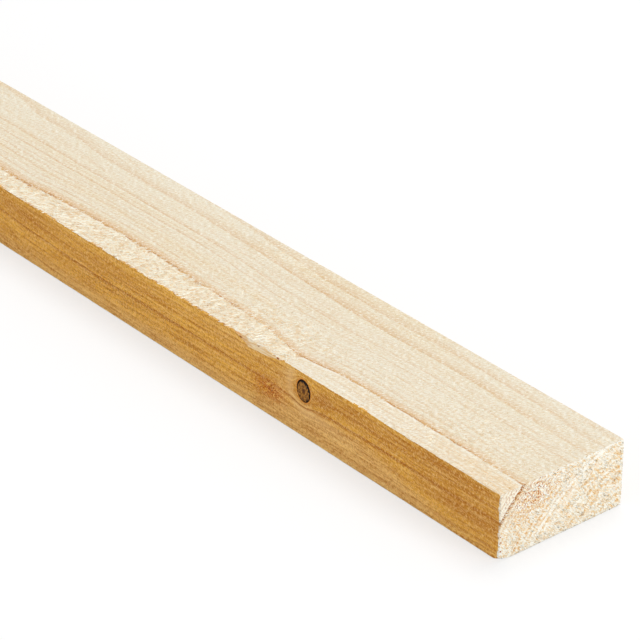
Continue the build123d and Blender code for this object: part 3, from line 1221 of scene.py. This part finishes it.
class PLANK_OT_stock(bpy.types.Operator):
    """Adds the sawn plank with its relief, knot and torn arris"""

    bl_idname = "plank.stock"
    bl_label = "Sawn plank"

    def execute(self, context):
        sizes, colours = context.scene.plank_sizes, context.scene.plank_colours
        gathered = MeshParts()
        rows, grid, window = build_barrel(gathered, sizes.fine_step * 1000)
        step = sizes.end_step * 1000
        build_end(gathered, rows, np.array([row[0] for row in grid]), 0.0, step, -1)
        build_end(gathered, rows, np.array([row[-1] for row in grid]), LENGTH, 2.5 * step, 1)
        build_knot(gathered, window)
        home, normal = np.concatenate(gathered.points), np.concatenate(gathered.normals)
        carved, pit = carve(home, normal)
        names = ("face", "edge", "end", "knot")
        makers = (sawn_face, sawn_edge, cut_end, dead_knot)
        parts = set_borders(carved, gathered.faces, gathered.parts)
        plank = new_object(
            "sawn_plank", to_row(carved), gathered.faces, [make(colours) for make in makers],
            [names.index(part) for part in parts],
        )
        face_outward(plank.data)
        wood = wood_at(carved)
        stored_values = {
            "grain": wood, "place": carved, "ring": ring_number(wood[:, 1]),
            "late": line_strength(carved, wood), "pit": pit, "torn": torn_open(carved),
            "stain_and_pit_shade": stains_and_pit_shade(home), "pitch": pitchy(home), "sweep": pale_sweep(home),
            "patch": edge_tone(home), "halo": halo(home), "rim": ramp(inside_rim(home), 2.2, 0.8),
        }
        for name, values in stored_values.items():
            set_attribute(plank.data, name, values)
        plank.data.shade_smooth()
        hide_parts("plank")
        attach(plank, "root")
        return {"FINISHED"}


class PLANK_OT_face_fibres(bpy.types.Operator):
    """Adds the wool and the nap that the saw lifted on the upper face"""

    bl_idname = "plank.face_fibres"
    bl_label = "Face fibres"

    def execute(self, context):
        sizes = context.scene.plank_sizes
        wool = raised_fibre("whitewood_wool", "#fffdf0", "#efcd94")
        nap = raised_fibre("whitewood_nap", "#fffbee", "#e4c996")
        self.add_wool(np.random.default_rng(41), sizes.wool, wool)
        self.add_nap(np.random.default_rng(42), sizes.face_nap, nap)
        return {"FINISHED"}

    def on_surface(self, roots):
        """Sets the roots down on the relief, with their woolliness and the room above them."""
        out = wood_at(roots)[:, 1]
        wool = woolly_share(roots, out)
        depth = face_relief(roots, out)
        roots[:, 2] -= depth
        for bevel in (TORN_HOLLOW, ARRIS_WEAR):
            clip_arris(roots, bevel)
        return wool, THICKNESS - roots[:, 2] - 0.03

    def add_wool(self, rng, count, material):
        """Strands that the teeth combed across the grain, with a few long pale curls."""
        def density(p):
            wool = woolly_share(p, wood_at(p)[:, 1])
            return (0.012 + 0.988 * wool ** 1.5) * (1 - 0.85 * ramp(p[:, 0], 600, 760))

        roots = scatter(rng, count, density, (1.5, 1.6, THICKNESS), (LENGTH - 2, WIDTH - 2, THICKNESS))
        wool, room = self.on_surface(roots)
        roots[:, 2] -= 0.1
        with_saw = rng.random(count) < 0.72
        turn = np.radians(np.where(with_saw, rng.normal(52, 20, count), rng.normal(8, 30, count)))
        turn += math.pi * (rng.random(count) < 0.5)
        ways = np.stack([-np.cos(turn), np.sin(turn), np.zeros(count)], -1)
        curled = rng.random(count) < 0.14
        lengths = np.where(curled, rng.uniform(4.2, 7.5, count), rng.uniform(1.6, 4, count))
        lengths = lengths * (0.5 + 0.5 * wool)
        widths = np.where(curled, rng.uniform(0.6, 0.95, count), rng.uniform(0.35, 0.65, count))
        widths = widths * (0.6 + 0.4 * wool)
        lifts = np.minimum(rng.uniform(0.3, 0.9, count), room - widths / 2)
        bends = rng.normal(0, 1, count) * np.where(curled, 1.3, 0.7)
        tones = np.where(curled, 0.0, rng.random(count) ** 2.6)
        curls("wool_on_face", roots, ways, (0, 0, 1), lengths, widths, lifts, bends, tones, material)

    def add_nap(self, rng, count, material):
        """Short fibres that lean with the saw."""
        def density(p):
            return (0.75 + 0.25 * woolly_share(p, wood_at(p)[:, 1])) * (1 - 0.9 * ramp(p[:, 0], 600, 760))

        roots = scatter(rng, count, density, (1.5, 1.0, THICKNESS), (LENGTH - 2, WIDTH - 1.5, THICKNESS))
        room = self.on_surface(roots)[1]
        roots[:, 2] -= 0.05
        turn = np.radians(rng.normal(138, 30, count))
        lengths = rng.uniform(0.8, 2.2, count)
        rise = np.minimum(rng.uniform(0.12, 0.45, count), room) / lengths
        ways = unit(np.stack([-np.cos(turn), np.sin(turn), rise], -1))
        widths = rng.uniform(0.22, 0.42, count)
        spikes("nap_on_face", roots, ways, (0, 0, 1), lengths, widths, rng.random(count) ** 1.3, material)


class PLANK_OT_edge_fibres(bpy.types.Operator):
    """Adds the nap on the knotty edge, with strands where it is torn"""

    bl_idname = "plank.edge_fibres"
    bl_label = "Edge fibres"

    def execute(self, context):
        rng, sizes = np.random.default_rng(43), context.scene.plank_sizes
        # The golden fibre colours are yellowed wood and painted shade, like the edge they stand on.
        material = raised_fibre("yellowed_raised_fibre_with_painted_shade", "#f6d196", "#cf8f3c")
        roots, room = self.on_surface(rng, sizes.edge_nap, lambda p: 1 - 0.9 * ramp(p[:, 0], 560, 700))
        count = len(roots)
        turn = np.radians(rng.normal(216, 26, count))
        lengths = rng.uniform(0.8, 2.0, count)
        out = -np.minimum(rng.uniform(0.1, 0.32, count), room) / lengths
        ways = unit(np.stack([-np.cos(turn), out, np.sin(turn)], -1))
        widths = rng.uniform(0.24, 0.42, count)
        spikes("nap_on_edge", roots, ways, (0, -1, 0), lengths, widths, rng.random(count), material)
        roots, room = self.on_surface(rng, sizes.edge_strands, lambda p: 0.12 + 0.88 * pitchy(p))
        count = len(roots)
        turn = np.radians(rng.normal(20, 50, count)) + math.pi * (rng.random(count) < 0.5)
        ways = np.stack([-np.cos(turn), np.zeros(count), np.sin(turn)], -1)
        widths = rng.uniform(0.16, 0.34, count)
        lifts = np.minimum(rng.uniform(0.1, 0.5, count), room - widths / 2)
        curls(
            "strands_on_edge", roots, ways, (0, -1, 0), rng.uniform(1, 2.6, count), widths, lifts,
            rng.normal(0, 0.4, count), rng.random(count), material,
        )
        return {"FINISHED"}

    def on_surface(self, rng, count, density):
        """Roots on the relief of the knotty edge, clear of the knot and the torn arris."""
        top = THICKNESS - 4.5
        roots = scatter(rng, count, density, (1.5, 0, 1.5), (min(LENGTH - 2, 1200), 0, top))
        from_knot = np.linalg.norm((roots[:, [0, 2]] - KNOT[[0, 2]]) / KNOT_HALF, axis=1)
        roots = roots[from_knot > 1.2]
        depth = edge_relief(roots)
        roots[:, 1] += depth + 0.05
        return roots, depth - 0.02


class PLANK_OT_end_fibres(bpy.types.Operator):
    """Adds the strands and tips that stand out of the cut ends"""

    bl_idname = "plank.end_fibres"
    bl_label = "End fibres"

    def execute(self, context):
        sizes = context.scene.plank_sizes
        rng = np.random.default_rng(44)
        pale = raised_fibre("cross_cut_fibre_tip", "#faf9f0", "#e6cb9c")
        roots, ways = self.on_near_end(rng, sizes.end_strands, (-0.1, 0.78, -0.62), 0.2)
        count = len(roots)
        curls(
            "strands_on_near_end", roots, ways, (-1, 0, 0), rng.uniform(1.3, 3.4, count),
            rng.uniform(0.28, 0.5, count), rng.uniform(0.02, 0.12, count), rng.normal(0, 0.3, count),
            rng.random(count) ** 1.5, pale,
        )
        roots, ways = self.on_near_end(rng, sizes.end_nap, (-1.0, 0.3, -0.25), 0.3)
        count = len(roots)
        spikes(
            "nap_on_near_end", roots, ways, (0, 0.3, 0.95), rng.uniform(0.3, 0.9, count),
            rng.uniform(0.26, 0.5, count), rng.random(count) ** 2, pale,
        )
        count = sizes.far_nap
        roots = scatter(
            rng, count, lambda p: np.ones(len(p)), (LENGTH, 1, 1), (LENGTH, WIDTH - 1, THICKNESS - 1)
        )
        depth = end_relief(roots, wood_at(roots)[:, 1])
        roots[:, 0] -= depth + 0.1
        ways = unit(np.concatenate([np.ones((count, 1)), rng.normal(0, 0.3, (count, 2))], 1))
        lengths = np.minimum(rng.uniform(0.6, 1.7, count), depth)
        spikes(
            "nap_on_far_end", roots, ways, (0, 0.3, 0.95), lengths, rng.uniform(0.4, 0.8, count),
            rng.random(count), pale,
        )
        return {"FINISHED"}

    def on_near_end(self, rng, count, lean, spread):
        """Roots on the near end's tufts, clear of its pits, its check and the knocked corner."""
        def density(p):
            out = wood_at(p)[:, 1]
            smooth = 1 - 0.85 * ramp(out, MAIN_RING - 1, MAIN_RING + 0.5)
            holes = np.clip(sum(spot(p, [1, 2], at, (1.3, 1.3)) for at in END_PITS), 0, 1)
            bare = 1 - 0.65 * spot(p, [1, 2], (25, 37), (20, 12))
            return (0.1 + 0.9 * end_tufts(p, out)) * smooth * bare * (1 - holes) * (in_check(p) == 0)

        roots = scatter(rng, count, density, (0, 0.9, 0.9), (0, WIDTH - 0.9, THICKNESS - 0.9))
        gone = np.logical_or.reduce([knocked_off(roots, corner, reach)[0] for corner, reach in DUBS])
        roots = roots[~gone]
        roots[:, 0] += end_relief(roots, wood_at(roots)[:, 1]) + 0.05
        return roots, unit(np.array(lean) + rng.normal(0, spread, (len(roots), 3)) * (0.3, 1, 1))


class PLANK_PT_sidebar(bpy.types.Panel):
    """Lists what makes up the plank"""

    bl_label = "Sawn plank"
    bl_space_type = "VIEW_3D"
    bl_region_type = "UI"
    bl_category = "Plank"

    def draw(self, context):
        column = self.layout.column()
        for step in OPERATORS:
            column.operator(step.bl_idname)
        for group in (context.scene.plank_sizes, context.scene.plank_colours, context.scene.plank_stage):
            for name in type(group).__annotations__:
                column.prop(group, name)


OPERATORS = (
    PLANK_OT_stage, PLANK_OT_stock, PLANK_OT_face_fibres, PLANK_OT_edge_fibres, PLANK_OT_end_fibres,
)
SETTINGS = {"plank_sizes": PlankSettings, "plank_colours": PlankColours, "plank_stage": StageSettings}
CLASSES = (*SETTINGS.values(), *OPERATORS, PLANK_PT_sidebar)


def register():
    for cls in CLASSES:
        bpy.utils.register_class(cls)
    for name, group in SETTINGS.items():
        setattr(bpy.types.Scene, name, PointerProperty(type=group))


def unregister():
    for name in SETTINGS:
        delattr(bpy.types.Scene, name)
    for cls in reversed(CLASSES):
        bpy.utils.unregister_class(cls)


def main():
    register()
    bpy.ops.plank.stage()
    bpy.ops.plank.stock()
    bpy.ops.plank.face_fibres()
    bpy.ops.plank.edge_fibres()
    bpy.ops.plank.end_fibres()


if __name__ == "__main__":
    main()
